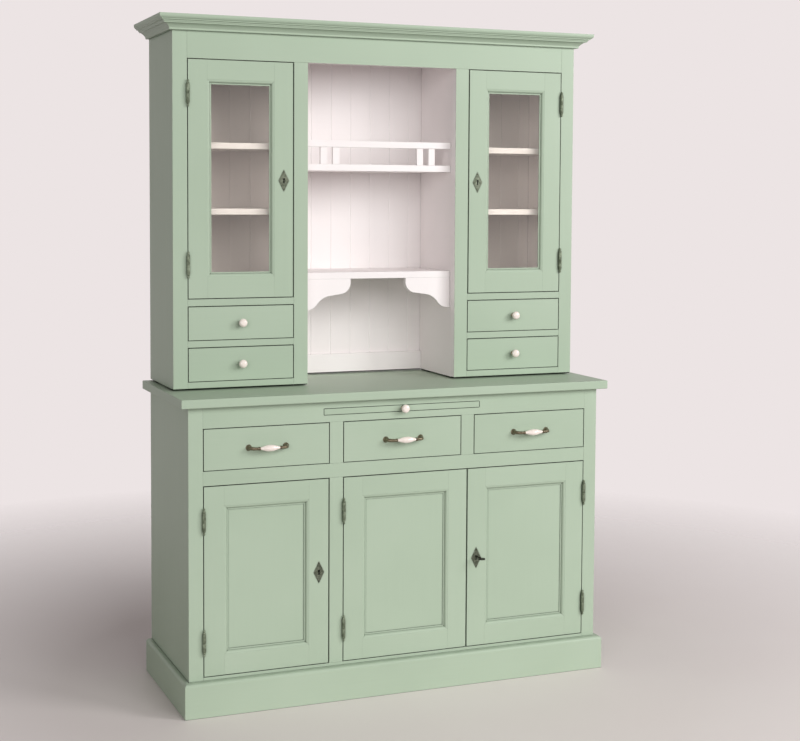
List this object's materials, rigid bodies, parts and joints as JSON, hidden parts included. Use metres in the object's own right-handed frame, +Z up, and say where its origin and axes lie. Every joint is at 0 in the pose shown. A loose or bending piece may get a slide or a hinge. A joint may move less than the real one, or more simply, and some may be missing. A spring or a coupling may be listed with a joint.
{
  "type": "buffet cabinet",
  "caption": "Painted buffet cabinet: a base with drawers, doors and a pull-out board under a hutch with glazed cupboards beside an open niche.",
  "frame": {"origin": "on the floor, in the middle of the cabinet's outer box", "axes": "+X to the cabinet's right as seen from the front, +Y to its back, +Z up"},
  "size_m": [1.448, 0.528, 2.062],
  "materials": {
    "painted_wood": "satin paint",
    "dark_iron": "aged",
    "aged_brass": "aged",
    "cream_ceramic": "glossy",
    "clear_glass": "clear"
  },
  "bodies": {
    "root": {"worktop": "painted_wood", "base_uprights": "painted_wood", "base_bottom_board": "painted_wood", "base_back_boards": "painted_wood", "base_stiles": "painted_wood", "base_top_rail": "painted_wood", "base_rails": "painted_wood", "plinth_boards": "painted_wood", "drawer_runners": "painted_wood", "base_shelves": "painted_wood", "hutch_uprights": "painted_wood", "hutch_top_board": "painted_wood", "hutch_back_boards": "painted_wood", "hutch_stiles": "painted_wood", "hutch_rails": "painted_wood", "hutch_dust_boards": "painted_wood", "side_shelves": "painted_wood", "niche_shelves": "painted_wood", "shelf_gallery": "painted_wood", "niche_brackets": "painted_wood", "niche_back_rail": "painted_wood", "cornice": "painted_wood", "hinge_frame_halves": "dark_iron"},
    "left_door": {"left_door_frame": "painted_wood", "left_door_panel": "painted_wood", "left_door_hinges": "dark_iron", "left_door_lock": "aged_brass"},
    "middle_door": {"middle_door_frame": "painted_wood", "middle_door_panel": "painted_wood", "middle_door_hinges": "dark_iron"},
    "right_door": {"right_door_frame": "painted_wood", "right_door_panel": "painted_wood", "right_door_hinges": "dark_iron", "right_door_lock": "aged_brass"},
    "left_glazed_door": {"left_glazed_door_frame": "painted_wood", "left_glazed_door_glass": "clear_glass", "left_glazed_door_hinges": "dark_iron", "left_glazed_door_lock": "aged_brass"},
    "right_glazed_door": {"right_glazed_door_frame": "painted_wood", "right_glazed_door_glass": "clear_glass", "right_glazed_door_hinges": "dark_iron", "right_glazed_door_lock": "aged_brass"},
    "left_drawer": {"base_drawer_left": "painted_wood", "base_drawer_left_handle": "aged_brass"},
    "middle_drawer": {"base_drawer_middle": "painted_wood", "base_drawer_middle_handle": "aged_brass"},
    "right_drawer": {"base_drawer_right": "painted_wood", "base_drawer_right_handle": "aged_brass"},
    "upper_left_drawer": {"hutch_drawer_upper_left": "painted_wood", "hutch_drawer_upper_left_knob": "cream_ceramic"},
    "upper_right_drawer": {"hutch_drawer_upper_right": "painted_wood", "hutch_drawer_upper_right_knob": "cream_ceramic"},
    "lower_left_drawer": {"hutch_drawer_lower_left": "painted_wood", "hutch_drawer_lower_left_knob": "cream_ceramic"},
    "lower_right_drawer": {"hutch_drawer_lower_right": "painted_wood", "hutch_drawer_lower_right_knob": "cream_ceramic"},
    "pull_out": {"pull_out_board": "painted_wood", "pull_out_knob": "cream_ceramic"},
    "key": {"right_door_key": "aged_brass"},
    "lock_bolt": {"right_door_lock_bolt": "aged_brass"}
  },
  "joints": [
    {"name": "left_door_swing", "type": "hinge", "parent": "root", "child": "left_door", "pos_m": [-0.631, -0.218, 0.397], "axis": [0, 0, -1], "range_deg": [0, 110]},
    {"name": "middle_door_swing", "type": "hinge", "parent": "root", "child": "middle_door", "pos_m": [-0.19533, -0.218, 0.397], "axis": [0, 0, -1], "range_deg": [0, 110]},
    {"name": "right_door_swing", "type": "hinge", "parent": "root", "child": "right_door", "pos_m": [0.631, -0.218, 0.397], "axis": [0, 0, 1], "range_deg": [0, 110]},
    {"name": "left_glazed_door_swing", "type": "hinge", "parent": "root", "child": "left_glazed_door", "pos_m": [-0.63, -0.043, 1.5765], "axis": [0, 0, -1], "range_deg": [0, 110]},
    {"name": "right_glazed_door_swing", "type": "hinge", "parent": "root", "child": "right_glazed_door", "pos_m": [0.63, -0.043, 1.5765], "axis": [0, 0, 1], "range_deg": [0, 110]},
    {"name": "left_drawer_slide", "type": "slide", "parent": "root", "child": "left_drawer", "axis": [0, -1, 0], "range_m": [0, 0.32]},
    {"name": "middle_drawer_slide", "type": "slide", "parent": "root", "child": "middle_drawer", "axis": [0, -1, 0], "range_m": [0, 0.32]},
    {"name": "right_drawer_slide", "type": "slide", "parent": "root", "child": "right_drawer", "axis": [0, -1, 0], "range_m": [0, 0.32]},
    {"name": "upper_left_drawer_slide", "type": "slide", "parent": "root", "child": "upper_left_drawer", "axis": [0, -1, 0], "range_m": [0, 0.18]},
    {"name": "upper_right_drawer_slide", "type": "slide", "parent": "root", "child": "upper_right_drawer", "axis": [0, -1, 0], "range_m": [0, 0.18]},
    {"name": "lower_left_drawer_slide", "type": "slide", "parent": "root", "child": "lower_left_drawer", "axis": [0, -1, 0], "range_m": [0, 0.18]},
    {"name": "lower_right_drawer_slide", "type": "slide", "parent": "root", "child": "lower_right_drawer", "axis": [0, -1, 0], "range_m": [0, 0.18]},
    {"name": "pull_out_slide", "type": "slide", "parent": "root", "child": "pull_out", "axis": [0, -1, 0], "range_m": [0, 0.3]},
    {"name": "key_turn", "type": "hinge", "parent": "right_door", "child": "key", "pos_m": [0.25053, -0.212, 0.4], "axis": [0, -1, 0], "range_deg": [0, 90]},
    {"name": "lock_bolt_slide", "type": "slide", "parent": "right_door", "child": "lock_bolt", "axis": [-1, 0, 0], "range_m": [0, 0.009]}
  ],
  "couplings": [
    {"joint": "lock_bolt_slide", "follows": "key_turn", "m_per_rad": 0.00572}
  ]
}
